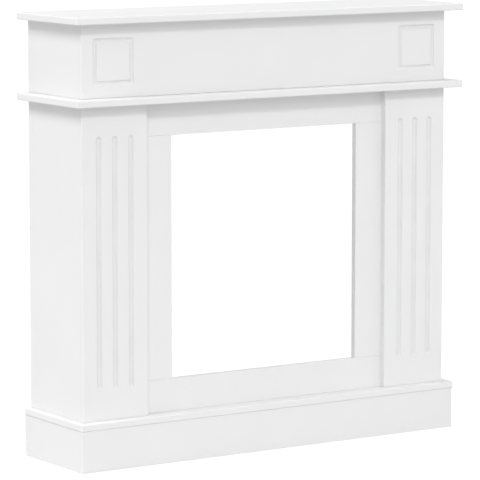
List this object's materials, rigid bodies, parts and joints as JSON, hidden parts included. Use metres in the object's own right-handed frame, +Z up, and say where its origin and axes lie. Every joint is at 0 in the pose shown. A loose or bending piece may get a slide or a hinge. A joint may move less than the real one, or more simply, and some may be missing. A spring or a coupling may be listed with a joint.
{
  "type": "fireplace surround",
  "caption": "Free-standing fireplace surround with a shelf, frieze box, fluted pilasters, recessed frame round an open hearth, and a base.",
  "frame": {"origin": "on the floor, at the middle of the footprint's bounding box", "axes": "+X to the right as seen from the front, +Y from the front to the wall, +Z up"},
  "size_m": [1.04, 0.265, 1],
  "materials": {
    "painted_mdf": "satin white paint on fibreboard"
  },
  "bodies": {
    "root": {"top_shelf": "painted_mdf", "mid_shelf": "painted_mdf", "frieze_panel": "painted_mdf", "frieze_side_left": "painted_mdf", "frieze_side_right": "painted_mdf", "pilaster_left": "painted_mdf", "side_panel_left": "painted_mdf", "pilaster_right": "painted_mdf", "side_panel_right": "painted_mdf", "lintel_rail": "painted_mdf", "frame_stile_left": "painted_mdf", "frame_stile_right": "painted_mdf", "bottom_rail": "painted_mdf", "base_cap": "painted_mdf", "base_board_front": "painted_mdf", "base_board_left": "painted_mdf", "base_board_right": "painted_mdf"}
  },
  "joints": []
}
